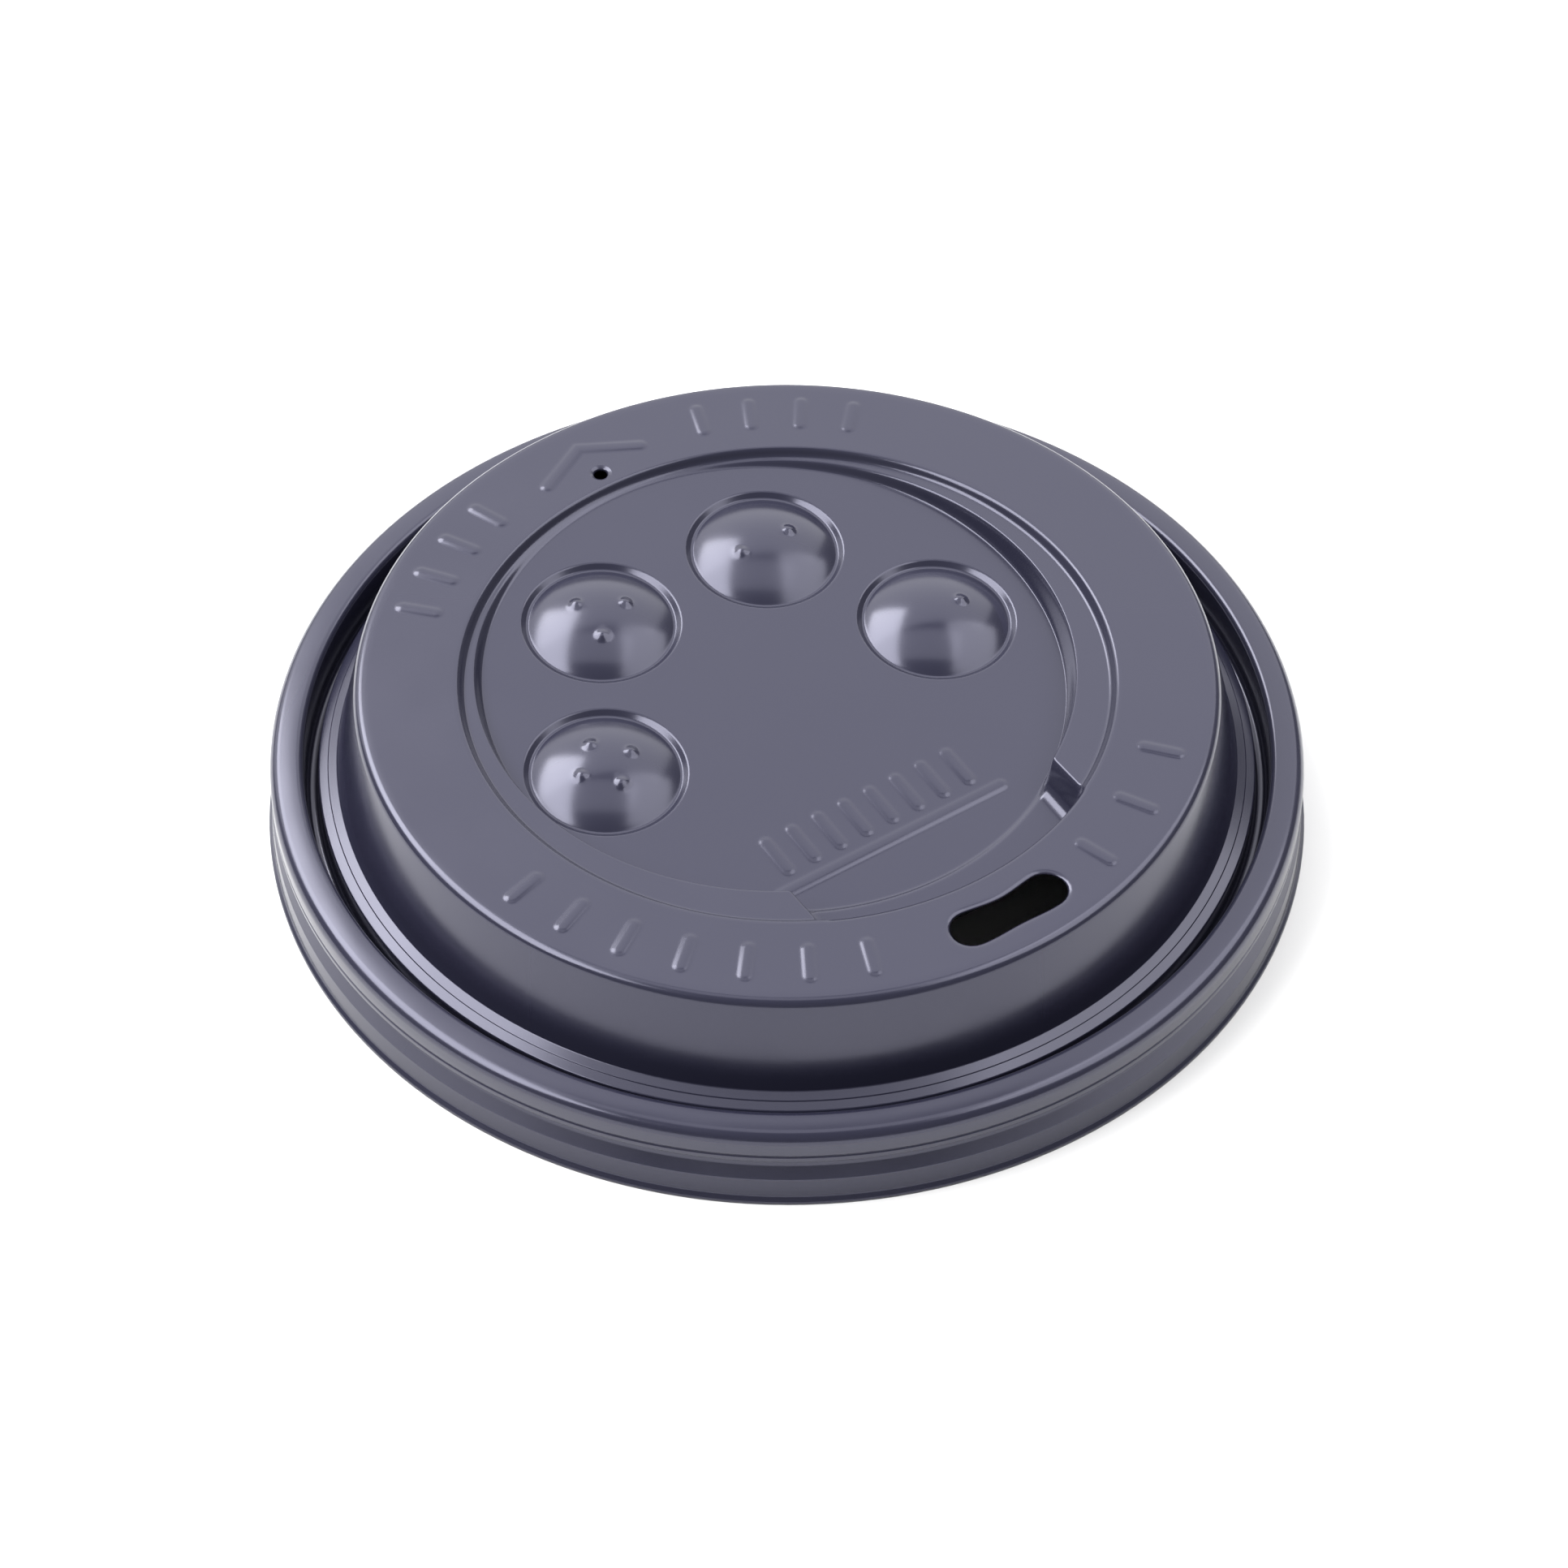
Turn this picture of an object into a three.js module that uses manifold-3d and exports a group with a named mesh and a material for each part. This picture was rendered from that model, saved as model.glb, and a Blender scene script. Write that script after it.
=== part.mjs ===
// Sip-through lid for a takeaway coffee cup, thermoformed as one sheet of polystyrene.
// Millimetres, +Z up. The origin is on the lid's axis, level with the bottom of its rim.
// The sip slot lies towards -Y, the air vent towards +Y.

import * as THREE from 'three';
import { mergeVertices } from 'three/addons/utils/BufferGeometryUtils.js';
import Module from 'manifold-3d';

const wasm = await Module();
wasm.setup();

// The sheet after forming
const SHEET = 0.4;

// Skirt and snap band, from the bottom up
const RIM_RADIUS = 46.75;
const LIP_HEIGHT = 0.45;
const LIP_FLARE = 0.35;
const SKIRT_HEIGHT = 2.7;
const SKIRT_DRAFT = 0.12;
const SNAP_DEPTH = 0.45;
const SNAP_HEIGHT = 1.9;
const BEAD_OVERHANG = 0.3;

// Bead over the cup's rolled rim, and the plug groove inside it
const BEAD_WIDTH = 3.0;
const BEAD_TOP = 8.2;
const BEAD_SHOULDER = 6.3;
const GROOVE_WIDTH = 1.25;
const GROOVE_FLOOR = 3.9;

// Two small rings at the foot of the wall
const LOW_RING_WIDTH = 0.85;
const LOW_RING_TOP = 6.65;
const HIGH_RING_WIDTH = 0.85;
const RING_STEP = 0.22;

// Tapered wall and the flat land on top
const LID_HEIGHT = 15.9;
const WALL_TAPER = 2.15;
const EDGE_RADIUS = 0.6;
const LAND_WIDTH = 9.05;

// Recess in the land, down to a flat ledge
const LEDGE_DEPTH = 0.75;
const RECESS_TAPER = 0.45;

// Sloping dish inside the ledge, nearer to the vent than the recess is
const DISH_OFFSET = 1.95;
const LEDGE_NARROWEST = 0.05;
const DISH_TAPER = 0.65;
const DISH_SHALLOWEST = 0.25;
const DISH_SLOPE = 0.055;

// Channel through the ledge, below the sip slot
const CHANNEL_WIDTH = 27;
const CHANNEL_LIFT = 0.25;
const CHANNEL_TAPER = 0.3;

// Press-down buttons: shallow domes, each in a moat, on a ring a little to one side of the dish
const BUTTON_ANGLES = [-1, 59, 119, 179];
const BUTTON_RING_RADIUS = 17.5;
const BUTTON_RING_X = -0.65;
const BUTTON_RING_Y = 0.3;
const MOAT_RADIUS = 7.35;
const MOAT_DEPTH = 0.4;
const MOAT_WIDTH = 0.6;
const DOME_HEIGHT = 1.75;

// Sip slot with a narrower waist, and the air vent
const SLOT_LENGTH = 11.4;
const SLOT_WIDTH = 3.7;
const SLOT_WAIST = 3.2;
const VENT_DIAMETER = 1.2;
const VENT_INSET = 1.8;

// Facets round the axis, round a button and along a rounded edge
const RIM_FACETS = 60;
const BUTTON_FACETS = 20;
const DOME_RINGS = 4;
const BEAD_FACETS = 6;
const EDGE_FACETS = 3;

// How far a cutter runs past the face that it cuts
const OVERCUT = 1;

// Radii that follow from the sizes above, going inwards
const skirtRadius = RIM_RADIUS - LIP_FLARE;
const snapRadius = skirtRadius - SKIRT_DRAFT - SNAP_DEPTH;
const beadRadius = snapRadius + BEAD_OVERHANG;
const beadInnerRadius = beadRadius - BEAD_WIDTH;
const grooveInnerRadius = beadInnerRadius - GROOVE_WIDTH;
const ringStepRadius = grooveInnerRadius - LOW_RING_WIDTH;
const wallFootRadius = ringStepRadius - HIGH_RING_WIDTH;
const landRadius = wallFootRadius - WALL_TAPER;
const recessRadius = landRadius - LAND_WIDTH;
const ledgeRadius = recessRadius - RECESS_TAPER;
const dishRadius = ledgeRadius - DISH_OFFSET - LEDGE_NARROWEST;

// Heights that follow from the sizes above
const snapTop = SKIRT_HEIGHT + SNAP_HEIGHT;
const wallFoot = LOW_RING_TOP + RING_STEP;
const ledgeHeight = LID_HEIGHT - LEDGE_DEPTH;
const dishDepth = DISH_SHALLOWEST + DISH_SLOPE * dishRadius;

const point = (radius, height) => new THREE.Vector2(radius, height);

// Points along a quarter of an ellipse, from start to end. The curve leaves start along the
// line from start to corner, and reaches end along the line from corner to end.
function quarter(start, corner, end, steps) {
  const points = [];
  for (let i = 0; i <= steps; i += 1) {
    const turn = (Math.PI / 2) * (i / steps);
    const toStart = start.clone().sub(corner).multiplyScalar(1 - Math.sin(turn));
    const toEnd = end.clone().sub(corner).multiplyScalar(1 - Math.cos(turn));
    points.push(corner.clone().add(toStart).add(toEnd));
  }
  return points;
}

// Moves a path to its left by a distance, with mitred corners.
function offsetPath(path, distance) {
  const normals = path.slice(1).map((end, i) => {
    const along = end.clone().sub(path[i]).normalize();
    return point(-along.y, along.x);
  });
  return path.map((corner, i) => {
    const before = normals[Math.max(i - 1, 0)];
    const after = normals[Math.min(i, normals.length - 1)];
    const mitre = before.clone().add(after);
    mitre.multiplyScalar(distance / (1 + before.dot(after)));
    return corner.clone().add(mitre);
  });
}

// A closed geometry as a solid for joining and cutting.
function solid(geometry) {
  const bare = geometry.clone();
  bare.deleteAttribute('normal');
  bare.deleteAttribute('uv');
  const merged = mergeVertices(bare);
  return new wasm.Manifold(new wasm.Mesh({
    numProp: 3,
    vertProperties: new Float32Array(merged.attributes.position.array),
    triVerts: new Uint32Array(merged.index.array),
  }));
}

// Solid of revolution about Z. The profile runs from the axis, outwards and up, to the axis.
function revolve(profile, facets) {
  return new THREE.LatheGeometry(profile, facets).rotateX(Math.PI / 2);
}

// Outside of the rim and the wall, from the lip up to the land.
function rimPath() {
  const beadMiddle = (beadRadius + beadInnerRadius) / 2;
  const grooveMiddle = (beadInnerRadius + grooveInnerRadius) / 2;
  const grooveCorner = GROOVE_WIDTH / 2;
  const wallRun = point(-WALL_TAPER, LID_HEIGHT - wallFoot).normalize();
  const landEdge = point(landRadius, LID_HEIGHT);
  return [
    point(RIM_RADIUS, 0),
    point(RIM_RADIUS, LIP_HEIGHT),
    point(skirtRadius, LIP_HEIGHT + LIP_FLARE),
    point(skirtRadius - SKIRT_DRAFT, SKIRT_HEIGHT),
    point(snapRadius, SKIRT_HEIGHT + BEAD_OVERHANG),
    point(snapRadius, snapTop),
    point(beadRadius, snapTop + BEAD_OVERHANG),
    ...quarter(
      point(beadRadius, BEAD_SHOULDER),
      point(beadRadius, BEAD_TOP),
      point(beadMiddle, BEAD_TOP),
      BEAD_FACETS / 2,
    ),
    ...quarter(
      point(beadMiddle, BEAD_TOP),
      point(beadInnerRadius, BEAD_TOP),
      point(beadInnerRadius, BEAD_SHOULDER),
      BEAD_FACETS / 2,
    ).slice(1),
    point(beadInnerRadius, GROOVE_FLOOR + grooveCorner),
    point(grooveMiddle, GROOVE_FLOOR),
    point(grooveInnerRadius, GROOVE_FLOOR + grooveCorner),
    point(grooveInnerRadius, LOW_RING_TOP - RING_STEP),
    point(grooveInnerRadius - RING_STEP, LOW_RING_TOP),
    point(ringStepRadius, LOW_RING_TOP),
    point(ringStepRadius - RING_STEP / 2, wallFoot),
    point(wallFootRadius, wallFoot),
    ...quarter(
      landEdge.clone().addScaledVector(wallRun, -EDGE_RADIUS),
      landEdge,
      point(landRadius - EDGE_RADIUS, LID_HEIGHT),
      EDGE_FACETS,
    ),
  ];
}

// Height by which the sloping dish floor lies above its middle, at a place along Y.
const floorRise = (y) => DISH_SLOPE * (y - DISH_OFFSET);

// Slopes the floor of an upright pocket: a point at the floor moves by the whole rise there,
// a point at the top or above it stays.
function slopeFloor(geometry, floor, top) {
  const places = geometry.attributes.position;
  for (let i = 0; i < places.count; i += 1) {
    const depth = (top - places.getZ(i)) / (top - floor);
    const share = THREE.MathUtils.clamp(depth, 0, 1);
    places.setZ(i, places.getZ(i) + share * floorRise(places.getY(i)));
  }
  return geometry;
}

// Space of the recess above the ledge, grown on all sides by the skin.
function recess(skin) {
  const wallRun = point(RECESS_TAPER, LEDGE_DEPTH).normalize();
  const edge = point(recessRadius, LID_HEIGHT);
  const path = offsetPath([
    point(0, ledgeHeight),
    point(ledgeRadius, ledgeHeight),
    ...quarter(
      edge.clone().addScaledVector(wallRun, -EDGE_RADIUS),
      edge,
      point(recessRadius + EDGE_RADIUS, LID_HEIGHT),
      EDGE_FACETS,
    ),
  ], -skin);
  const mouth = path.at(-1).x;
  const clear = LID_HEIGHT + OVERCUT;
  return solid(revolve([...path, point(mouth, clear), point(0, clear)], RIM_FACETS));
}

// Space of a round pocket below the ledge with a sloping floor, grown by the skin.
function pocket(floorRadius, topRadius, depth, middleY, skin) {
  const [middle, foot, top] = offsetPath([
    point(0, ledgeHeight - depth),
    point(floorRadius, ledgeHeight - depth),
    point(topRadius, ledgeHeight),
  ], -skin);
  const clear = ledgeHeight + OVERCUT / 4;
  const round = revolve([middle, foot, top, point(top.x, clear), point(0, clear)], RIM_FACETS);
  return solid(slopeFloor(round.translate(0, middleY, 0), foot.y, top.y));
}

// Space of the dish, whose floor falls from the vent to the sip slot.
function dish(skin) {
  return pocket(dishRadius - DISH_TAPER, dishRadius, dishDepth, DISH_OFFSET, skin);
}

// Space of the channel: a stretch of a round pocket between two upright sides.
function channel(skin) {
  const depth = dishDepth - CHANNEL_LIFT;
  const round = pocket(ledgeRadius - CHANNEL_TAPER, ledgeRadius - CHANNEL_TAPER / 2, depth, 0, skin);
  const width = CHANNEL_WIDTH + 2 * skin;
  const reach = ledgeRadius + OVERCUT;
  const stretch = new THREE.BoxGeometry(width, reach, 2 * LID_HEIGHT);
  stretch.translate(0, -reach / 2 - CHANNEL_WIDTH / 2, 0);
  return round.intersect(solid(stretch));
}

// Stands a button's own shape on the sloping floor, at its angle about the dish's middle.
function placeButton(geometry, degrees) {
  const angle = THREE.MathUtils.degToRad(degrees);
  const x = BUTTON_RING_X + BUTTON_RING_RADIUS * Math.cos(angle);
  const y = BUTTON_RING_Y + BUTTON_RING_RADIUS * Math.sin(angle);
  const floor = ledgeHeight - dishDepth + floorRise(y);
  return solid(geometry.rotateX(Math.atan(DISH_SLOPE)).translate(x, y, floor));
}

// Space of the moat round a button, measured from the dish floor.
function moat(skin) {
  const path = offsetPath([
    point(0, -MOAT_DEPTH),
    point(MOAT_RADIUS - MOAT_DEPTH / 2, -MOAT_DEPTH),
    point(MOAT_RADIUS + MOAT_DEPTH / 2, MOAT_DEPTH),
  ], -skin);
  const clear = DOME_HEIGHT + OVERCUT;
  return revolve([...path, point(path.at(-1).x, clear), point(0, clear)], BUTTON_FACETS);
}

// Dome of a button, whose sphere shrinks by the skin.
function dome(skin) {
  const footRadius = MOAT_RADIUS - MOAT_WIDTH;
  const sphereRadius = (footRadius ** 2 + DOME_HEIGHT ** 2) / (2 * DOME_HEIGHT);
  const centre = DOME_HEIGHT - MOAT_DEPTH - sphereRadius;
  const foot = -MOAT_DEPTH - skin;
  const radius = sphereRadius - skin;
  const spread = Math.acos((foot - centre) / radius);
  const profile = [point(0, foot - OVERCUT / 4), point(radius * Math.sin(spread), foot - OVERCUT / 4)];
  for (let i = 0; i <= DOME_RINGS; i += 1) {
    const angle = spread * (1 - i / DOME_RINGS);
    profile.push(point(radius * Math.sin(angle), centre + radius * Math.cos(angle)));
  }
  return revolve(profile, BUTTON_FACETS);
}

// The lid's outer form, filled solid, with every face moved inwards by the skin.
function form(skin) {
  const base = skin > 0 ? -OVERCUT : 0;
  const path = offsetPath(rimPath(), skin);
  path[0].y = base;
  const top = path.at(-1).y;
  let shape = solid(revolve([point(0, base), ...path, point(0, top)], RIM_FACETS));
  shape = shape.subtract(recess(skin)).subtract(dish(skin)).subtract(channel(skin));
  for (const degrees of BUTTON_ANGLES) {
    shape = shape.subtract(placeButton(moat(skin), degrees)).add(placeButton(dome(skin), degrees));
  }
  return shape;
}

// Cutter for the sip slot: two round ends joined by a waist, bent along the middle of the land.
function sipSlot() {
  const bendRadius = landRadius - LAND_WIDTH / 2;
  const lobe = SLOT_WIDTH / 2;
  const halfAngle = (SLOT_LENGTH / 2 - lobe) / bendRadius;
  const waistAngle = halfAngle / 2;
  const down = -Math.PI / 2;
  const at = (angle, radius) => point(radius * Math.cos(down + angle), radius * Math.sin(down + angle));
  const right = at(halfAngle, bendRadius);
  const left = at(-halfAngle, bendRadius);
  const outline = new THREE.Shape();
  outline.absarc(right.x, right.y, lobe, down + halfAngle, -down + halfAngle, false);
  outline.splineThru([
    at(waistAngle, bendRadius - SLOT_WAIST / 2),
    at(-waistAngle, bendRadius - SLOT_WAIST / 2),
    at(-halfAngle, bendRadius - lobe),
  ]);
  outline.absarc(left.x, left.y, lobe, -down - halfAngle, -3 * down - halfAngle, false);
  outline.splineThru([
    at(-waistAngle, bendRadius + SLOT_WAIST / 2),
    at(waistAngle, bendRadius + SLOT_WAIST / 2),
    at(halfAngle, bendRadius + lobe),
  ]);
  const cutter = new THREE.ExtrudeGeometry(outline, {
    depth: 2 * OVERCUT + SHEET,
    bevelEnabled: false,
    curveSegments: EDGE_FACETS * 2,
  });
  return solid(cutter.translate(0, 0, LID_HEIGHT - SHEET - OVERCUT));
}

// Cutter for the air vent, a round hole in the land close to the recess.
function airVent() {
  const radius = VENT_DIAMETER / 2;
  const cutter = new THREE.CylinderGeometry(radius, radius, 2 * OVERCUT + SHEET, BUTTON_FACETS / 2);
  cutter.rotateX(Math.PI / 2);
  return solid(cutter.translate(0, recessRadius + VENT_INSET, LID_HEIGHT - SHEET / 2));
}

// A joined solid as a geometry for a mesh.
function geometryOf(shape) {
  const { vertProperties, triVerts } = shape.getMesh();
  const geometry = new THREE.BufferGeometry();
  geometry.setAttribute('position', new THREE.BufferAttribute(new Float32Array(vertProperties), 3));
  geometry.setIndex(new THREE.BufferAttribute(new Uint32Array(triVerts), 1));
  geometry.computeVertexNormals();
  return geometry;
}

// The formed sheet, trimmed at the lip and punched twice
const sheet = form(0).subtract(form(SHEET)).subtract(sipSlot()).subtract(airVent());

const polystyrene = new THREE.MeshStandardMaterial({ color: 0x57586a, roughness: 0.3, metalness: 0 });
const lid = new THREE.Mesh(geometryOf(sheet), polystyrene);
lid.name = 'lid';

const part = new THREE.Group();
part.add(lid);

export default part;
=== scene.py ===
"""Sip-through lid for a takeaway cup: the fine surface of the formed sheet, its finish and its studio.

The sizes are metres. The frame gives the lid's outer size, and the properties below give the rest.
"""

import math

import bmesh
import bpy
import numpy as np
from mathutils import Matrix, Vector
from mathutils.geometry import delaunay_2d_cdt


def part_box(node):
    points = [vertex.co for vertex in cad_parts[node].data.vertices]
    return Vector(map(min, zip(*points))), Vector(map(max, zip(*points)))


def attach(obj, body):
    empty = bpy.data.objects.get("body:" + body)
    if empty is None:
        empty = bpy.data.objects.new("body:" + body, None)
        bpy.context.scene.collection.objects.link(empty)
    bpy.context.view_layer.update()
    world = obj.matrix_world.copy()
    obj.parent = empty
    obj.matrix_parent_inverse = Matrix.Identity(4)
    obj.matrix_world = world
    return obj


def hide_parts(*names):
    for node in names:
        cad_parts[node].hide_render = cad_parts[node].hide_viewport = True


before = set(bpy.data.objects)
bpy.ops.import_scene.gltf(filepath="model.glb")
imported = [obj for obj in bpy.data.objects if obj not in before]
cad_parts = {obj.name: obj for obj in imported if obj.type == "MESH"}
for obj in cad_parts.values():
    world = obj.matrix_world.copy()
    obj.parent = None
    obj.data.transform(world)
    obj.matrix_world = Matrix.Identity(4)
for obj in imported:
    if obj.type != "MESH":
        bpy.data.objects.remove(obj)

bl_info = {
    "name": "Takeaway cup lid",
    "version": (1, 0, 0),
    "blender": (4, 5, 0),
    "location": "View3D > Sidebar > Lid",
    "description": "Builds a sip-through cup lid, its plastic and a plain studio",
    "category": "Object",
}

MM = 0.001
SOLID = "lid"

LOW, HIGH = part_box(SOLID)
RIM_RADIUS = (HIGH[0] - LOW[0]) / 2


def length(name, description, default):
    """A size in metres as an add-on property, with its default given in millimetres."""
    return bpy.props.FloatProperty(
        name=name, description=description, default=default * MM, unit="LENGTH", precision=5
    )


class LidRimSizes(bpy.types.PropertyGroup):
    """Sizes of the rim, bead, groove and wall, from the lip inwards."""

    sheet: length("Sheet", "Thickness of the formed sheet", 0.4)
    lip_height: length("Lip height", "Height of the trimmed lip", 0.32)
    lip_flare: length("Lip flare", "How far the lip stands out from the skirt", 0.35)
    skirt_height: length("Skirt height", "Top of the skirt", 2.7)
    skirt_draft: length("Skirt draft", "How far the skirt leans in", 0.12)
    snap_depth: length("Snap depth", "How far the snap band is drawn in", 0.75)
    snap_height: length("Snap height", "Height of the snap band", 1.7)
    snap_sweep: length("Snap sweep", "Height over which the snap band sweeps out to the skirt", 1.3)
    bead_overhang: length("Bead overhang", "How far the bead stands out from the snap band", 0.6)
    bead_width: length("Bead width", "Width of the bead over the cup's rim", 3.0)
    bead_top: length("Bead top", "Height of the bead's crest", 8.2)
    bead_fall: length("Bead fall", "How far the bead's crest falls outwards", 0.2)
    crease_height: length("Crease height", "Height of the crease low on the bead", 5.6)
    crease_depth: length("Crease depth", "Depth of the crease", 0.1)
    groove_width: length("Groove width", "Width of the groove that plugs the cup", 1.25)
    groove_floor: length("Groove floor", "Height of the groove's floor", 3.9)
    low_ring_width: length("Low ring width", "Width of the outer ring at the wall's foot", 0.85)
    low_ring_top: length("Low ring top", "Height of the outer ring", 6.6)
    high_ring_width: length("High ring width", "Width of the inner ring at the wall's foot", 0.85)
    ring_step: length("Ring step", "Step between the two rings", 0.08)
    ring_fall: length("Ring fall", "How far each ring falls towards the groove", 0.28)
    wall_taper: length("Wall taper", "How far the wall leans in", 2.15)
    edge_radius: length("Edge radius", "Rounding of the land's outer edge", 0.85)


class LidTopSizes(bpy.types.PropertyGroup):
    """Sizes of the land, the recess, the dish, the slot and the vent."""

    land_width: length("Land width", "Width of the flat land", 9.05)
    ledge_depth: length("Ledge depth", "Depth of the ledge below the land", 0.75)
    recess_taper: length("Recess taper", "Width of the sloping wall down to the ledge", 0.45)
    recess_edge: length("Recess edge", "Width over which the wall's edges are rounded", 0.45)
    dish_offset: length("Dish offset", "How far the dish lies towards the vent", 1.95)
    ledge_narrowest: length("Narrowest ledge", "Width of the ledge at the vent", 0.05)
    dish_taper: length("Dish taper", "Width of the sloping wall round the dish", 0.5)
    dish_edge: length("Dish edge", "Width over which the dish's edges are rounded", 0.35)
    dish_shallowest: length("Shallowest dish", "Depth of the dish at the vent", 0.15)
    dish_slope: bpy.props.FloatProperty(
        name="Dish slope", description="Fall of the dish floor towards the slot", default=0.066
    )
    channel_width: length("Channel width", "Width of the channel through the ledge", 27.0)
    channel_lift: length("Channel lift", "Height of the channel above the dish floor", 0.25)
    channel_taper: length("Channel taper", "Width of the channel's sloping sides", 0.55)
    channel_edge: length("Channel edge", "Width over which the channel's edges are rounded", 0.75)
    slot_length: length("Slot length", "Length of the sip slot", 11.4)
    slot_width: length("Slot width", "Width of the sip slot at its ends", 3.7)
    slot_waist: length("Slot waist", "Width of the sip slot in its middle", 3.2)
    slot_lip: length("Slot lip", "How far the punched edge is bent down", 0.18)
    vent_diameter: length("Vent diameter", "Diameter of the air vent", 1.2)
    vent_inset: length("Vent inset", "Distance from the recess to the vent", 1.8)
    vent_dimple: length("Vent dimple", "How far the punched vent is bent down", 0.3)


class LidButtonSizes(bpy.types.PropertyGroup):
    """Sizes of the press-down buttons and of the raised marks."""

    ring_x: length("Ring X", "Where the middle of the ring of buttons lies along X", -1.0)
    ring_y: length("Ring Y", "Where the middle of the ring of buttons lies along Y", 0.6)
    ring_radius: length("Ring radius", "Distance from the ring's middle to a button", 17.4)
    moat_radius: length("Moat radius", "Radius of the moat round a button", 7.35)
    moat_depth: length("Moat depth", "Depth of the moat", 0.4)
    moat_width: length("Moat width", "Width of the moat", 0.85)
    dome_height: length("Dome height", "Height of a button above its moat", 1.75)
    dome_steepness: bpy.props.FloatProperty(
        name="Dome steepness", description="Share of the dome's fall near its foot", default=0.1
    )
    pip_radius: length("Pip radius", "Radius of a raised pip on a button", 0.85)
    pip_height: length("Pip height", "Height of a raised pip", 0.3)
    pip_ring: length("Pip ring", "Distance from a button's middle to its pips", 2.6)
    mark_width: length("Mark width", "Width of a raised bar", 1.2)
    mark_height: length("Mark height", "Height of a raised bar", 0.1)


class LidColours(bpy.types.PropertyGroup):
    """Colours of the plastic and of the studio."""

    plastic: bpy.props.StringProperty(
        name="Plastic", description="Colour of the pigment in the sheet, sRGB hex", default="#222230"
    )
    # Painted light: a bluish tint painted into the sheet's reflections, standing in for the bluish
    # cast of the studio light, not a colour of the plastic itself
    painted_reflection_tint: bpy.props.StringProperty(
        name="Gleam", description="Tint of the reflections on the sheet, sRGB hex", default="#E8E8FF"
    )
    floor: bpy.props.StringProperty(
        name="Floor", description="Colour of the studio floor, sRGB hex", default="#EDEDED"
    )


def linear(colour):
    """An sRGB hex colour as linear red, green, blue and alpha."""
    values = np.array([int(colour[i : i + 2], 16) for i in (1, 3, 5)]) / 255
    low = values / 12.92
    high = ((values + 0.055) / 1.055) ** 2.4
    return (*np.where(values <= 0.04045, low, high).tolist(), 1.0)


def add_node(tree, kind, links=(), **settings):
    """A node of a kind, with its settings and input values, joined to earlier sockets."""
    node = tree.nodes.new(kind)
    for name, value in settings.items():
        if name in node.inputs:
            node.inputs[name].default_value = value
        else:
            setattr(node, name, value)
    for name, socket in links:
        tree.links.new(socket, node.inputs[name])
    return node


# Curves and surfaces


def rounded_path(corners, step=math.radians(11)):
    """Points of a path whose corners (x, y, radius) are arcs.

    The arc at a corner of turning angle a starts and ends radius times tan(a / 2) from it. Its
    centre lies on the side to which the path turns, and its points are one step of angle apart.
    """
    points = [corners[0][:2]]
    for before, corner, after in zip(corners, corners[1:], corners[2:]):
        here = np.array(corner[:2])
        arriving = here - np.array(before[:2])
        leaving = np.array(after[:2]) - here
        arriving = arriving / np.linalg.norm(arriving)
        leaving = leaving / np.linalg.norm(leaving)
        turn = math.atan2(np.cross(arriving, leaving), arriving @ leaving)
        start = here - arriving * corner[2] * math.tan(abs(turn) / 2)
        side = math.copysign(corner[2], turn) * np.array([-arriving[1], arriving[0]])
        count = max(1, math.ceil(abs(turn) / step))
        angles = np.linspace(0, turn, count + 1)[:, None]
        arms = -side * np.cos(angles) + np.array([side[1], -side[0]]) * np.sin(angles)
        points.extend(start + side + arms)
    points.append(corners[-1][:2])
    return np.array(points, float)


def revolved(profile, angles):
    """Points (r cos a, r sin a, z) for each point (r, z) of a profile and each angle a."""
    radii, heights = profile[:, :1], profile[:, 1:]
    flat = np.broadcast_to(heights, (len(profile), len(angles)))
    return np.stack([radii * np.cos(angles), radii * np.sin(angles), flat], -1)


def ramp(distance, width, rounding):
    """A smooth step from 0 to 1 over a width.

    It is the straight ramp from 0 at distance 0 to 1 at the width, averaged over a window as wide
    as the rounding, so its two corners become parabolas.
    """

    def area(x):
        inner = np.clip(x, 0, width)
        return inner**2 / (2 * width) + np.maximum(x - width, 0)

    half = rounding / 2
    return (area(distance + half) - area(distance - half)) / rounding


def outline(line, spread, cap=7):
    """Closed loop at a distance round a bent line, anticlockwise.

    It runs along the line's right side with mitred bends, round its end in a half circle, back
    along its left side and round its start.
    """
    runs = np.diff(line, axis=0)
    runs = runs / np.linalg.norm(runs, axis=1)[:, None]
    sides = np.stack([runs[:, 1], -runs[:, 0]], 1)
    before = np.vstack([sides[:1], sides])
    after = np.vstack([sides, sides[-1:]])
    mitres = (before + after) / (1 + (before * after).sum(1))[:, None]
    turns = np.linspace(0, math.pi, cap + 2)[1:-1, None]
    end = line[-1] + spread * (sides[-1] * np.cos(turns) + runs[-1] * np.sin(turns))
    start = line[0] - spread * (sides[0] * np.cos(turns) + runs[0] * np.sin(turns))
    return np.vstack([line + spread * mitres, end, (line - spread * mitres)[::-1], start])


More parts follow.
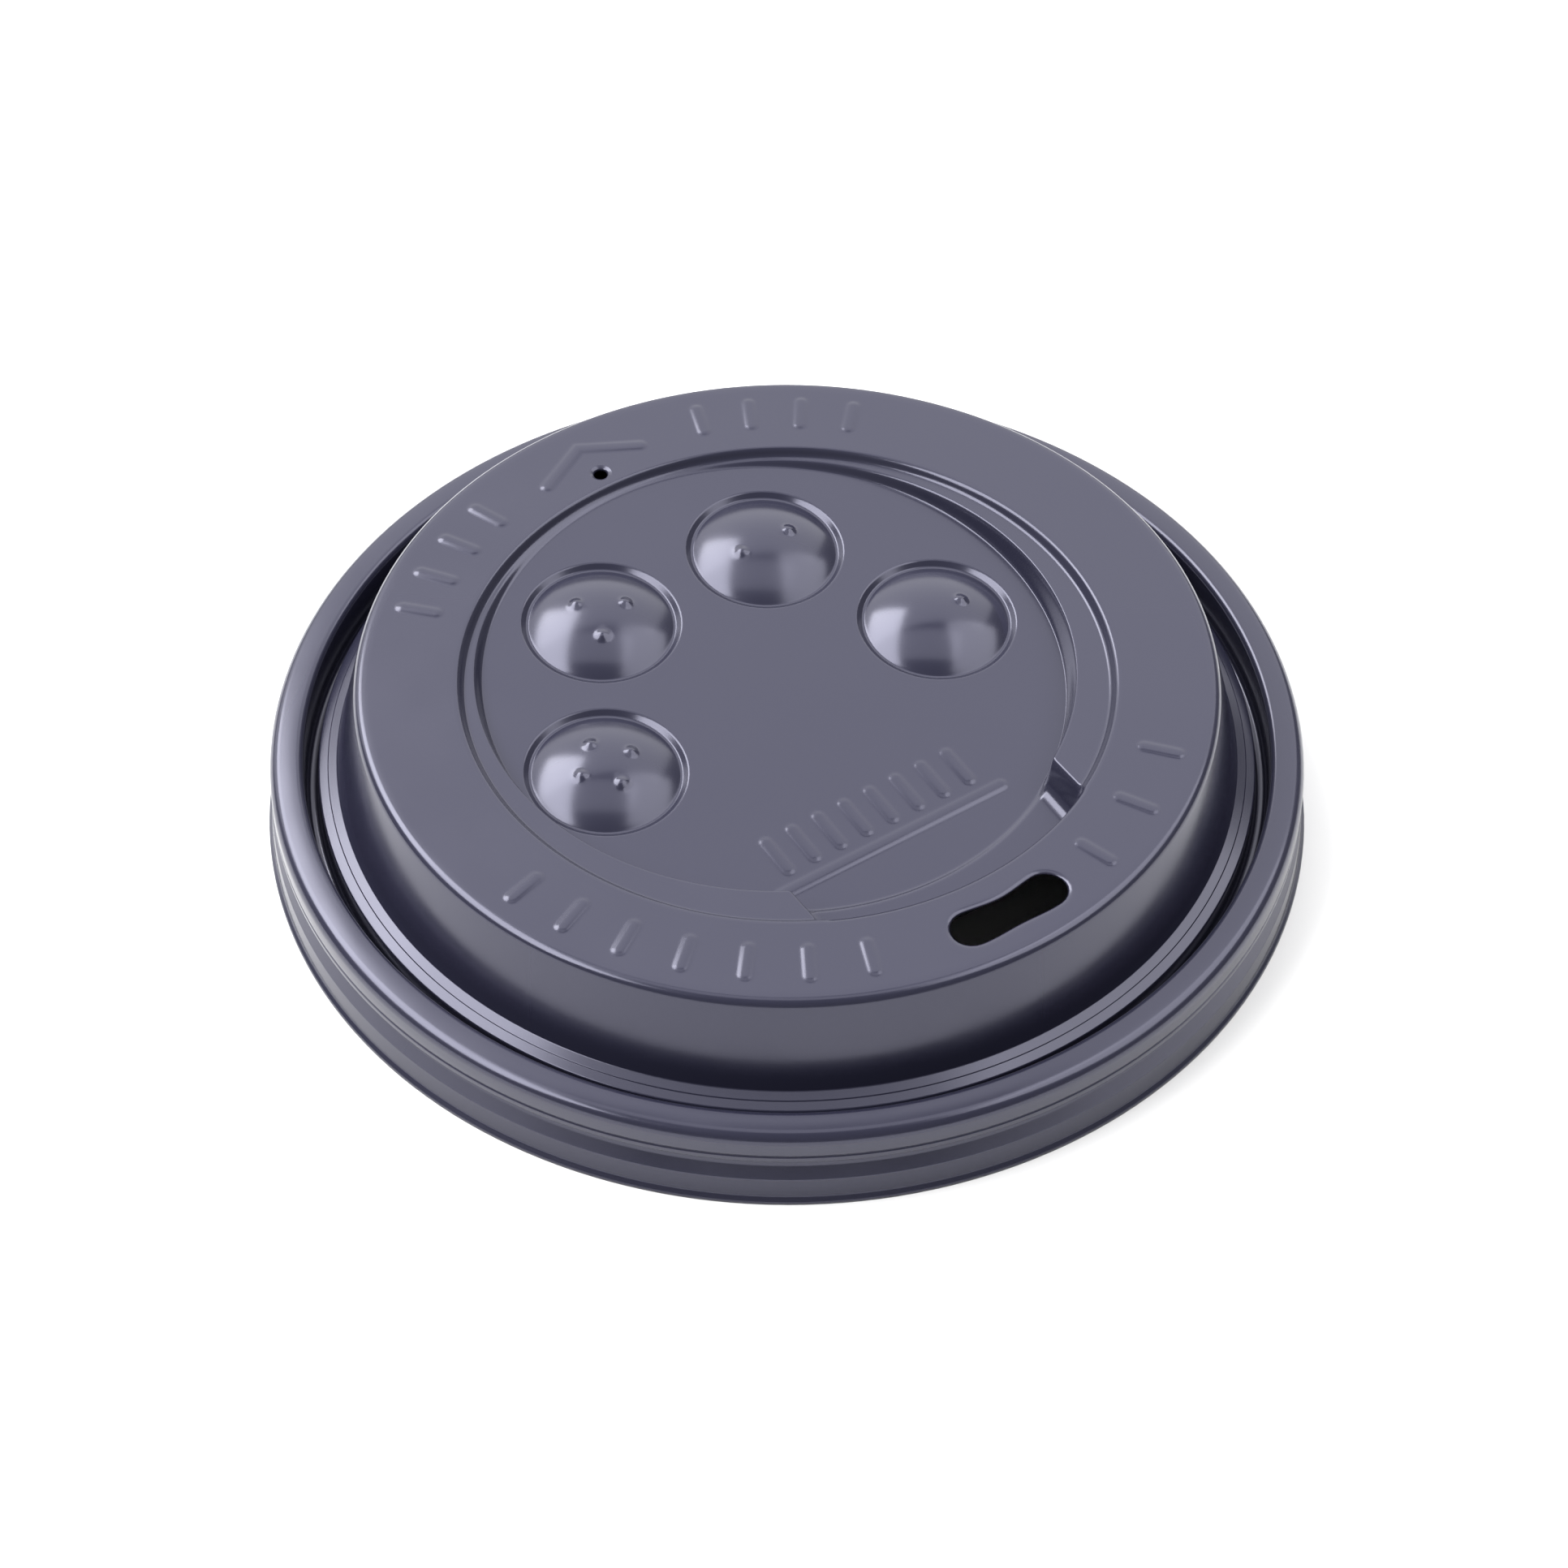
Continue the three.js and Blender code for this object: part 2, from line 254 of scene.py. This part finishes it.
class Surface:
    """Gathers grids of points and flat fills into one mesh, and joins them where they meet."""

    def __init__(self):
        self.points = []
        self.quads = []
        self.triangles = []
        self.count = 0

    def keep(self, points):
        """Stores points and returns the number of the first one."""
        first = self.count
        self.points.append(points.reshape(-1, 3))
        self.count += points.size // 3
        return first

    def grid(self, points):
        """Adds rows of points as rings closed on themselves.

        Rows run inwards or upwards and columns anticlockwise, so that the faces look out.
        """
        rows, columns = points.shape[:2]
        number = np.arange(rows * columns).reshape(rows, columns) + self.keep(points)
        here, onward = number, np.roll(number, -1, axis=1)
        self.quads.append(np.stack([here[:-1], onward[:-1], onward[1:], here[1:]], -1).reshape(-1, 4))

    def fill(self, loops, height):
        """Fills the flat face between an outer loop and the loops inside it.

        The height function gives z for x and y.
        """
        flat = np.vstack(loops) / MM
        starts = np.cumsum([0] + [len(loop) for loop in loops[:-1]])
        rings = [list(range(first, first + len(loop))) for first, loop in zip(starts, loops)]
        places, _, faces, _, _, inside = delaunay_2d_cdt([Vector(p) for p in flat], [], rings, 1, 1e-6)
        places = np.array(places) * MM
        first = self.keep(np.column_stack([places, height(places[:, 0], places[:, 1])]))
        between = [face for face, rings_round in zip(faces, inside) if rings_round == [0]]
        self.triangles.append(np.array(between) + first)

    def mesh(self, name):
        """The gathered points and faces as one mesh with smooth shading."""
        mesh = bpy.data.meshes.new(name)
        faces = [*np.vstack(self.quads).tolist(), *np.vstack(self.triangles).tolist()]
        mesh.from_pydata(np.vstack(self.points), [], faces)
        work = bmesh.new()
        work.from_mesh(mesh)
        bmesh.ops.remove_doubles(work, verts=work.verts, dist=0.002 * MM)
        work.to_mesh(mesh)
        work.free()
        mesh.shade_smooth()
        return mesh


# The lid's forms

# Columns round the lid, a button and the vent
RIM_COLUMNS = 192
BUTTON_COLUMNS = 64
VENT_COLUMNS = 32

# Rings of the recess, from the land to the dish wall and down that wall, and columns across one
# side of the channel, round the dish away from the channel, and along the channel
LEDGE_RINGS = 24
DISH_RINGS = 15
SIDE_COLUMNS = 11
DISH_COLUMNS = 160
CHANNEL_COLUMNS = 36
SIDE_REACH = 0.6 * MM

# Where the buttons stand on their ring, in degrees
BUTTON_ANGLES = (-1, 59, 119, 179)

# Groups of raised bars on the land: first and last angle in degrees, and their number
LAND_MARKS = ((-165, -112, 7), (-73, -50, 3), (46, 70, 4), (110, 133, 4))
BAR_ENDS = (32.2 * MM, 35.2 * MM)
CHEVRON = ((99, 32.3 * MM), (90, 34.7 * MM), (81, 32.3 * MM))

# Flat strip kept round a form, so that the flat beside it is shaded flat
FLAT_MARGIN = 0.15 * MM

# Half section of a raised bar: distance from its middle over its half width, and share of its height
BAR_SECTION = ((1.6, 0), (1.4, 0), (1.15, 0.1), (0.9, 0.42), (0.65, 0.78), (0.35, 0.96), (0, 1))

# Edge of the sip slot: distance outside the punched edge, and share of the lip's depth
SLOT_SECTION = ((0.75 * MM, 0), (0.5 * MM, 0), (0.3 * MM, 0.12), (0.12 * MM, 0.45), (0, 1))

# Raised line on the dish, from its left end to its right end and its place along Y, with a row of
# bars above it
DISH_LINE = (-13 * MM, 10 * MM, -18.5 * MM)
DISH_BARS = 8
DISH_BAR_HEIGHT = 3.4 * MM


class Radii:
    """The land's height and the radii that follow from the sizes, going inwards.

    The land lies below the lid's full height by the height of the marks raised on it.
    """

    def __init__(self, scene):
        rim, top = scene.lid_rim, scene.lid_top
        self.top = HIGH[2] - scene.lid_button.mark_height
        self.skirt = RIM_RADIUS - rim.lip_flare
        self.snap = self.skirt - rim.skirt_draft - rim.snap_depth
        self.bead = self.snap + rim.bead_overhang
        self.bead_inner = self.bead - rim.bead_width
        self.groove_inner = self.bead_inner - rim.groove_width
        self.ring_step = self.groove_inner - rim.low_ring_width
        self.wall_foot = self.ring_step - rim.high_ring_width
        self.land = self.wall_foot - rim.wall_taper
        self.land_middle = self.land - top.land_width / 2
        self.recess = self.land - top.land_width
        self.ledge = self.recess - top.recess_taper
        self.dish = self.ledge - top.dish_offset - top.ledge_narrowest


def rim_profile(rim, radii):
    """Outside of the rim and wall as points (r, z), from the lip to the flat of the land.

    Each corner is given as (r, z, rounding).
    """
    snap_top = rim.skirt_height + rim.snap_height
    high_ring = rim.low_ring_top + rim.ring_step
    wall_foot = high_ring + rim.ring_fall
    bead_round = rim.bead_width * 0.36
    groove_round = rim.groove_width / 2 * 0.9
    return rounded_path(
        [
            (RIM_RADIUS, 0, 0),
            (RIM_RADIUS, rim.lip_height, 0.3 * MM),
            (radii.skirt, rim.lip_height + rim.lip_flare, 0.4 * MM),
            (radii.skirt - rim.skirt_draft, rim.skirt_height, 0.3 * MM),
            (radii.snap, rim.skirt_height + rim.snap_sweep, 0.9 * MM),
            (radii.snap, snap_top, 0.12 * MM),
            (radii.bead, snap_top + rim.bead_overhang, 0.2 * MM),
            (radii.bead, rim.crease_height - 0.15 * MM, 0.1 * MM),
            (radii.bead - rim.crease_depth, rim.crease_height, 0.05 * MM),
            (radii.bead, rim.crease_height + 0.2 * MM, 0.15 * MM),
            (radii.bead, rim.bead_top - rim.bead_fall, bead_round),
            (radii.bead_inner, rim.bead_top, 0.6 * MM),
            (radii.bead_inner, rim.groove_floor, groove_round),
            (radii.groove_inner, rim.groove_floor, groove_round),
            (radii.groove_inner, rim.low_ring_top - rim.ring_fall, 0.2 * MM),
            (radii.ring_step, rim.low_ring_top, 0.07 * MM),
            (radii.ring_step - rim.ring_step / 2, high_ring, 0.09 * MM),
            (radii.wall_foot, wall_foot, 0.15 * MM),
            (radii.land, radii.top, rim.edge_radius),
            (radii.land - rim.edge_radius - 3 * FLAT_MARGIN, radii.top, 0),
        ]
    )


def floor_depth(top, radii, y):
    """Depth of the sloping dish floor below the land, at a place along Y."""
    vent_edge = top.dish_offset + radii.dish
    return top.ledge_depth + top.dish_shallowest + top.dish_slope * (vent_edge - y)


def recess_height(top, radii, x, y):
    """Height of the top between the land and the dish floor.

    The recess wall, the dish wall and the channel's sides are ramps of the distance from their
    edges. The dish and the channel deepen the ledge, and the product of what each of them leaves
    joins the two.
    """
    recess = ramp(radii.recess - np.hypot(x, y), top.recess_taper, top.recess_edge)
    inside = radii.dish - np.hypot(x, y - top.dish_offset)
    dish = ramp(inside, top.dish_taper, top.dish_edge)
    channel = ramp(top.channel_width / 2 - np.abs(x), top.channel_taper, top.channel_edge)
    below_ledge = floor_depth(top, radii, y) - top.ledge_depth
    channel = channel * (y < 0) * (1 - top.channel_lift / below_ledge)
    share = 1 - (1 - dish) * (1 - channel)
    return radii.top - recess * (top.ledge_depth + below_ledge * share)


def recess_grid(top, radii):
    """Points of the recess, on rings whose middle slides from the lid's to the dish's.

    The columns follow the channel's sides, and lie close together there.
    """
    outer = radii.recess + top.recess_edge / 2
    dish_outer = radii.dish + top.dish_edge / 2
    dish_inner = radii.dish - top.dish_taper - top.dish_edge / 2
    ring = np.concatenate(
        [
            [outer + 2 * FLAT_MARGIN],
            np.linspace(outer, dish_outer, LEDGE_RINGS),
            np.linspace(dish_outer, dish_inner, DISH_RINGS)[1:],
            [dish_inner - FLAT_MARGIN / 5],
        ]
    )
    middle = np.interp(ring, [dish_outer, outer], [top.dish_offset, 0])
    side = np.arccos(top.channel_width / 2 / ring)[:, None]
    near = np.linspace(-SIDE_REACH, SIDE_REACH, SIDE_COLUMNS) / ring[:, None]
    clear = near[:, -1:]
    share = np.linspace(0, 1, DISH_COLUMNS)[1:-1]
    channel_share = np.linspace(0, 1, CHANNEL_COLUMNS)[1:-1]
    right, left = -side, math.pi + side
    angles = np.hstack(
        [
            right + near,
            right + clear + (left - right - 2 * clear) * share,
            left + near,
            left + clear + (2 * math.pi + right - left - 2 * clear) * channel_share,
        ]
    )
    x = ring[:, None] * np.cos(angles)
    y = ring[:, None] * np.sin(angles) + middle[:, None]
    return np.stack([x, y, recess_height(top, radii, x, y)], -1)


def raised(line, half_width, height, plane):
    """Rows of points over a raised bar along a bent line, from the flat round it to its back.

    Each row is an outline of the line. The bar's section is a flat back with rounded shoulders.
    """
    rows = []
    for spread, rise in BAR_SECTION:
        loop = outline(line, half_width * spread)
        rows.append(np.column_stack([loop, plane(*loop.T) + height * rise]))
    return np.array(rows)


def land_lines(radii):
    """Middle lines of the raised bars and of the chevron on the land."""
    lines = []
    for first, last, number in LAND_MARKS:
        for degrees in np.linspace(first, last, number):
            angle = math.radians(degrees)
            direction = np.array([math.cos(angle), math.sin(angle)])
            lines.append(np.outer(BAR_ENDS, direction))
    bends = [(r * math.cos(math.radians(a)), r * math.sin(math.radians(a))) for a, r in CHEVRON]
    lines.append(np.array(bends))
    return lines


def dish_lines():
    """Middle lines of the raised line and bars on the dish floor."""
    left, right, height = DISH_LINE
    lines = [np.array([(left, height), (right, height)])]
    foot = height + 2 * MM
    for x in np.linspace(left + 2 * MM, right - 2 * MM, DISH_BARS):
        lines.append(np.array([(x, foot), (x, foot + DISH_BAR_HEIGHT)]))
    return lines


def slot_rows(top, radii):
    """Rows of points round the sip slot, from the flat land to its bent-down edge.

    The slot's half width is half the waist in its middle and half the full width at its ends,
    and each end is a half circle. Its middle line is an arc of the land's middle radius.
    """
    lobe = top.slot_width / 2
    reach = top.slot_length / 2 - lobe
    along = np.linspace(-1, 1, 17)
    turns = np.linspace(0, math.pi, 13)[1:-1]
    rows = []
    for spread, drop in SLOT_SECTION:
        waist = (top.slot_width - top.slot_waist) / 2 * np.cos(along * math.pi / 2) ** 2
        half = lobe - waist + spread
        cap = lobe + spread
        side = np.concatenate([-half, -cap * np.cos(turns), half[::-1], cap * np.cos(turns)])
        run = np.concatenate(
            [along * reach, reach + cap * np.sin(turns), -along * reach, -reach - cap * np.sin(turns)]
        )
        angle = -math.pi / 2 + run / radii.land_middle
        radius = radii.land_middle - side
        rows.append(
            np.column_stack(
                [
                    radius * np.cos(angle),
                    radius * np.sin(angle),
                    np.full(len(run), radii.top - top.slot_lip * drop),
                ]
            )
        )
    return np.array(rows)


def vent_rows(top, radii):
    """Rows of points round the air vent, from the flat land into its dimple."""
    hole = top.vent_diameter / 2
    profile = rounded_path(
        [
            (hole + 0.5 * MM, 0, 0),
            (hole + 0.4 * MM, 0, 0.15 * MM),
            (hole + 0.12 * MM, -top.vent_dimple / 2, 0.15 * MM),
            (hole, -top.vent_dimple, 0),
        ]
    )
    rows = revolved(profile, np.linspace(0, 2 * math.pi, VENT_COLUMNS, endpoint=False))
    return rows + np.array([0, radii.recess + top.vent_inset, radii.top])


def button_rows(button, pips):
    """Rows of points over a button, measured from the dish floor, with raised pips on its dome.

    The dome falls with the square of the distance from its middle, and a share of its fall with
    the sixth power, which makes it steeper at its foot in the moat. A pip adds its height times
    (1 - d squared) squared, where d is the distance from its middle over its radius.
    """
    foot = button.moat_radius - button.moat_width
    shoulder = foot - 0.18 * MM
    steep = button.dome_steepness

    def dome(radius):
        fall = (1 - steep) * (radius / foot) ** 2 + steep * (radius / foot) ** 6
        return button.dome_height * (1 - fall) - button.moat_depth

    moat = rounded_path(
        [
            (button.moat_radius + 0.03 * MM, 0, 0),
            (button.moat_radius - 0.15 * MM, 0, 0.35 * MM),
            (button.moat_radius - 0.62 * MM, -button.moat_depth, 0.25 * MM),
            (foot, -button.moat_depth, 0.1 * MM),
            (shoulder, dome(shoulder), 0),
        ]
    )
    pip_outer = button.pip_ring + button.pip_radius
    pip_inner = button.pip_ring - button.pip_radius
    radii = np.concatenate(
        [
            np.linspace(shoulder, pip_outer, 11)[1:],
            np.linspace(pip_outer, pip_inner, 11)[1:],
            np.linspace(pip_inner, 0, 5)[1:],
        ]
    )
    profile = np.vstack([moat, np.column_stack([radii, dome(radii)])])
    rows = revolved(profile, np.linspace(0, 2 * math.pi, BUTTON_COLUMNS, endpoint=False))
    for angle in np.linspace(0, 2 * math.pi, pips, endpoint=False):
        middle = button.pip_ring * np.array([math.cos(angle), math.sin(angle)])
        away = np.linalg.norm(rows[..., :2] - middle, axis=-1) / button.pip_radius
        rows[..., 2] += button.pip_height * np.clip(1 - away**2, 0, None) ** 2
    return rows


def placed_button(rows, top, button, radii, degrees):
    """A button's rows, tilted with the dish floor and moved to their place on it."""
    angle = math.radians(degrees)
    x = button.ring_x + button.ring_radius * math.cos(angle)
    y = button.ring_y + button.ring_radius * math.sin(angle)
    tilt = np.array(Matrix.Rotation(math.atan(top.dish_slope), 3, "X"))
    return rows @ tilt.T + np.array([x, y, radii.top - floor_depth(top, radii, y)])


def lid_surface(scene):
    """The whole outer face of the formed sheet."""
    rim, top, button = scene.lid_rim, scene.lid_top, scene.lid_button
    radii = Radii(scene)
    surface = Surface()

    def land(x, y):
        return np.full(len(x), radii.top)

    def dish_floor(x, y):
        return radii.top - floor_depth(top, radii, y)

    wall = revolved(rim_profile(rim, radii), np.linspace(0, 2 * math.pi, RIM_COLUMNS, endpoint=False))
    recess = recess_grid(top, radii)
    half = button.mark_width / 2
    land_parts = [slot_rows(top, radii), vent_rows(top, radii)]
    land_parts += [raised(line, half, button.mark_height, land) for line in land_lines(radii)]
    dish_parts = [raised(line, half, button.mark_height, dish_floor) for line in dish_lines()]
    for pips, degrees in enumerate(BUTTON_ANGLES, 1):
        rows = button_rows(button, pips)
        dish_parts.append(placed_button(rows, top, button, radii, degrees))

    for rows in (wall, recess, *land_parts, *dish_parts):
        surface.grid(rows)
    land_loops = [rows[0, :, :2] for rows in land_parts]
    dish_loops = [rows[0, :, :2] for rows in dish_parts]
    surface.fill([wall[-1, :, :2], recess[0, :, :2], *land_loops], land)
    surface.fill([recess[-1, :, :2], *dish_loops], dish_floor)
    return surface


# Materials


def new_material(name):
    """A material with an empty node tree and its output node."""
    material = bpy.data.materials.new(name)
    material.use_nodes = True
    material.node_tree.nodes.clear()
    return material, material.node_tree, add_node(material.node_tree, "ShaderNodeOutputMaterial")


def formed_polystyrene(colours):
    """High-impact polystyrene sheet, pigmented dark slate and vacuum formed.

    The mould leaves a satin skin: broad soft gleams, black where the sheet sees only itself, and
    a faint unevenness of the gloss where the sheet was stretched.
    """
    material, tree, output = new_material("vacuum formed polystyrene")
    place = add_node(tree, "ShaderNodeTexCoord").outputs["Object"]
    # Patches of stretched sheet, about 9 mm across
    patches = add_node(tree, "ShaderNodeTexNoise", [("Vector", place)], Scale=110.0, Detail=2.0)
    gloss = add_node(
        tree,
        "ShaderNodeMapRange",
        [("Value", patches.outputs["Fac"])],
        **{"From Min": 0.3, "From Max": 0.7, "To Min": 0.17, "To Max": 0.23, "clamp": False},
    )
    # Shallow waves left by the stretch, about 16 mm long
    waves = add_node(tree, "ShaderNodeTexNoise", [("Vector", place)], Scale=60.0, Detail=1.0)
    bump = add_node(
        tree, "ShaderNodeBump", [("Height", waves.outputs["Fac"])], Strength=1.0, Distance=0.06 * MM
    )
    # The specular tint paints a bluish cast into every reflection, standing in for bluish studio
    # light; the base colour is the sheet's own pigment
    plastic = add_node(
        tree,
        "ShaderNodeBsdfPrincipled",
        [("Roughness", gloss.outputs["Result"]), ("Normal", bump.outputs["Normal"])],
        **{"Base Color": linear(colours.plastic), "IOR": 1.59, "Specular Tint": linear(colours.painted_reflection_tint)},
    )
    tree.links.new(plastic.outputs["BSDF"], output.inputs["Surface"])
    return material


def studio_floor(colours):
    """Matt white card, bright enough under the lamps to be white in the picture."""
    material, tree, output = new_material("matt white card")
    place = add_node(tree, "ShaderNodeTexCoord").outputs["Object"]
    # Card fibres, about 2 mm long
    fibres = add_node(tree, "ShaderNodeTexNoise", [("Vector", place)], Scale=500.0)
    bump = add_node(
        tree, "ShaderNodeBump", [("Height", fibres.outputs["Fac"])], Strength=0.02, Distance=0.02 * MM
    )
    card = add_node(
        tree,
        "ShaderNodeBsdfPrincipled",
        [("Normal", bump.outputs["Normal"])],
        **{"Base Color": linear(colours.floor), "Roughness": 0.9, "Specular IOR Level": 0.1},
    )
    tree.links.new(card.outputs["BSDF"], output.inputs["Surface"])
    return material


# Studio, laid out round the photograph's camera

CAMERA_AZIMUTH = math.radians(-34.1)
CAMERA_ELEVATION = math.radians(47.25)
CAMERA_DISTANCE = 400 * MM
CAMERA_ROLL = math.radians(0.25)
CAMERA_LENS = 101.3
SENSOR_WIDTH = 36.0
PHOTO_PIXELS = 1932
AXIS_PIXELS = (3.5, 12.0)

FLOOR_REACH = 3.0
FLOOR_GAP = 0.01 * MM

# Strength of the world as a light, and as the white that the camera sees
SKY_LIGHT = 0.3
SKY_WHITE = 1.0

# Softboxes: name, azimuth from the camera's right and elevation in degrees, distance, width and
# height, and radiance
SOFTBOXES = (
    ("left softbox", 170, 52, 0.8, 1.25, 0.42, 9.2),
    ("right softbox", 9, 55, 0.9, 0.84, 0.6, 3.7),
    ("back panel", 102, 38, 1.0, 1.9, 1.0, 1.8),
    ("overhead panel", 90, 84, 1.0, 0.8, 0.5, 1.5),
)


def direction(azimuth, elevation):
    """Unit vector at an azimuth, anticlockwise from +X, and an elevation, in radians."""
    level = math.cos(elevation)
    return Vector((level * math.cos(azimuth), level * math.sin(azimuth), math.sin(elevation)))


def add_softbox(name, azimuth, elevation, distance, width, height, radiance):
    """A rectangular lamp that faces the lid. Its power is radiance times pi times its area."""
    lamp = bpy.data.lights.new(name, "AREA")
    lamp.shape = "RECTANGLE"
    lamp.size = width
    lamp.size_y = height
    lamp.energy = radiance * math.pi * width * height
    obj = bpy.data.objects.new(name, lamp)
    towards = direction(math.radians(azimuth) + CAMERA_AZIMUTH, math.radians(elevation))
    obj.location = towards * distance
    obj.rotation_euler = towards.to_track_quat("Z", "Y").to_euler()
    bpy.context.scene.collection.objects.link(obj)


def add_world():
    """Even studio light, which looks white to the camera."""
    world = bpy.data.worlds.new("studio")
    world.use_nodes = True
    tree = world.node_tree
    tree.nodes.clear()
    eye = add_node(tree, "ShaderNodeLightPath").outputs["Is Camera Ray"]
    levels = {"To Min": SKY_LIGHT, "To Max": SKY_WHITE}
    strength = add_node(tree, "ShaderNodeMapRange", [("Value", eye)], **levels)
    sky = add_node(tree, "ShaderNodeBackground", [("Strength", strength.outputs["Result"])])
    sky.inputs["Color"].default_value = (1, 1, 1, 1)
    add_node(tree, "ShaderNodeOutputWorld", [("Surface", sky.outputs[0])])
    bpy.context.scene.world = world


def add_camera():
    """The photograph's camera: its angle, lens, small shift and roll."""
    data = bpy.data.cameras.new("camera")
    data.lens = CAMERA_LENS
    data.sensor_width = SENSOR_WIDTH
    data.shift_x = -AXIS_PIXELS[0] / PHOTO_PIXELS
    data.shift_y = AXIS_PIXELS[1] / PHOTO_PIXELS
    camera = bpy.data.objects.new("camera", data)
    back = direction(CAMERA_AZIMUTH - math.pi / 2, CAMERA_ELEVATION)
    turn = back.to_track_quat("Z", "Y").to_matrix() @ Matrix.Rotation(CAMERA_ROLL, 3, "Z")
    camera.matrix_world = Matrix.Translation(back * CAMERA_DISTANCE) @ turn.to_4x4()
    bpy.context.scene.collection.objects.link(camera)
    bpy.context.scene.camera = camera


# Operators, panel and registration


class LID_OT_sheet(bpy.types.Operator):
    """Builds the formed sheet with its thickness and its plastic."""

    bl_idname = "lid.sheet"
    bl_label = "Formed sheet"

    def execute(self, context):
        scene = context.scene
        sheet = bpy.data.objects.new("lid_sheet", lid_surface(scene).mesh("lid_sheet"))
        scene.collection.objects.link(sheet)
        sheet.data.materials.append(formed_polystyrene(scene.lid_colours))
        thickness = sheet.modifiers.new("thickness", "SOLIDIFY")
        thickness.thickness = scene.lid_rim.sheet
        thickness.offset = -1
        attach(sheet, "root")
        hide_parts(SOLID)
        return {"FINISHED"}


class LID_OT_stage(bpy.types.Operator):
    """Builds the floor, the lamps, the world and the camera."""

    bl_idname = "lid.stage"
    bl_label = "Studio"

    def execute(self, context):
        scene = context.scene
        mesh = bpy.data.meshes.new("floor")
        reach = FLOOR_REACH
        corners = [(-reach, -reach, 0), (reach, -reach, 0), (reach, reach, 0), (-reach, reach, 0)]
        mesh.from_pydata(corners, [], [(0, 1, 2, 3)])
        floor = bpy.data.objects.new("floor", mesh)
        floor.data.materials.append(studio_floor(scene.lid_colours))
        floor.location.z = LOW[2] - FLOOR_GAP
        scene.collection.objects.link(floor)
        for softbox in SOFTBOXES:
            add_softbox(*softbox)
        add_world()
        add_camera()
        scene.view_settings.view_transform = "Standard"
        return {"FINISHED"}


class LID_PT_panel(bpy.types.Panel):
    """Lists the lid's sizes and colours, and the steps that build it."""

    bl_idname = "LID_PT_panel"
    bl_label = "Takeaway cup lid"
    bl_space_type = "VIEW_3D"
    bl_region_type = "UI"
    bl_category = "Lid"

    def draw(self, context):
        for operator in (LID_OT_sheet, LID_OT_stage):
            self.layout.operator(operator.bl_idname)
        for group in ("lid_rim", "lid_top", "lid_button", "lid_colours"):
            settings = getattr(context.scene, group)
            box = self.layout.box()
            for name in settings.__annotations__:
                box.prop(settings, name)


GROUPS = {
    "lid_rim": LidRimSizes,
    "lid_top": LidTopSizes,
    "lid_button": LidButtonSizes,
    "lid_colours": LidColours,
}
CLASSES = (*GROUPS.values(), LID_OT_sheet, LID_OT_stage, LID_PT_panel)


def register():
    for cls in CLASSES:
        bpy.utils.register_class(cls)
    for name, group in GROUPS.items():
        setattr(bpy.types.Scene, name, bpy.props.PointerProperty(type=group))


def unregister():
    for name in GROUPS:
        delattr(bpy.types.Scene, name)
    for cls in reversed(CLASSES):
        bpy.utils.unregister_class(cls)


def main():
    """Builds everything."""
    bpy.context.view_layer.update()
    register()
    bpy.ops.lid.sheet()
    bpy.ops.lid.stage()


if __name__ == "__main__":
    main()
